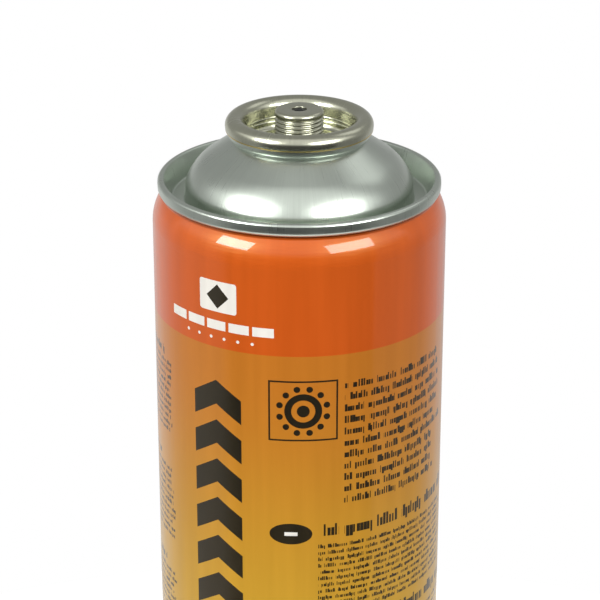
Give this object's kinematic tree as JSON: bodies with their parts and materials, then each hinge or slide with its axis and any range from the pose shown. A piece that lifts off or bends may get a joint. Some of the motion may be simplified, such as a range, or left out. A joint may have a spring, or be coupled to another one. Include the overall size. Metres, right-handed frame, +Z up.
{
  "type": "fuel canister",
  "caption": "Tall cylindrical tinplate gas canister with a necked, printed body, drawn dome top, crimped valve cup and a threaded boss for a burner or torch.",
  "frame": {"origin": "middle of the bottom rim, at the height of the face that it stands on", "axes": "+Z up along the can's axis to the threaded boss, -Y towards the front of the printed label, +X to the right seen from the front"},
  "size_m": [0.0654, 0.0654, 0.27],
  "materials": {
    "printed_tinplate": "glossy lacquer over orange and amber print",
    "satin_tinplate": "satin tinplate, fine streaks round the axis",
    "cup_tinplate": "satin, slightly warm lacquered tinplate",
    "gasket_rubber": "matt straw coloured rubber",
    "seal_rubber": "matt black rubber"
  },
  "bodies": {
    "root": {"can_body": "printed_tinplate", "bottom_end": "satin_tinplate", "top_dome": "satin_tinplate", "cup_gasket": "gasket_rubber", "valve_cup": "cup_tinplate", "valve_seal": "seal_rubber"}
  },
  "joints": []
}
